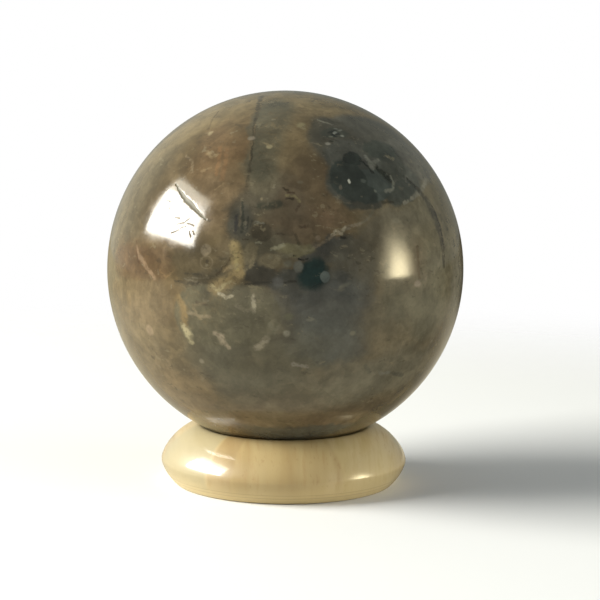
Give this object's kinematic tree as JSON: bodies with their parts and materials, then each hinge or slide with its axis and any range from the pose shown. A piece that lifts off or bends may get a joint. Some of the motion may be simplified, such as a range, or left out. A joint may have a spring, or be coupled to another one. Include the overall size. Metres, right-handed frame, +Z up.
{
  "type": "stone sphere on ring stand",
  "caption": "Polished mottled stone ball resting on a turned, lacquered wooden ring stand with a flat foot.",
  "frame": {"origin": "centre of the ring stand's flat foot, on the surface it stands on", "axes": "+Z up through the middle of the ring and the ball; -Y is the side with the ball's best figure, +X to its right"},
  "size_m": [0.08, 0.08, 0.0885],
  "materials": {
    "lacquered_wood": "gloss",
    "polished_stone": "polished"
  },
  "bodies": {
    "root": {"ring_stand": "lacquered_wood", "stone_ball": "polished_stone"}
  },
  "joints": []
}
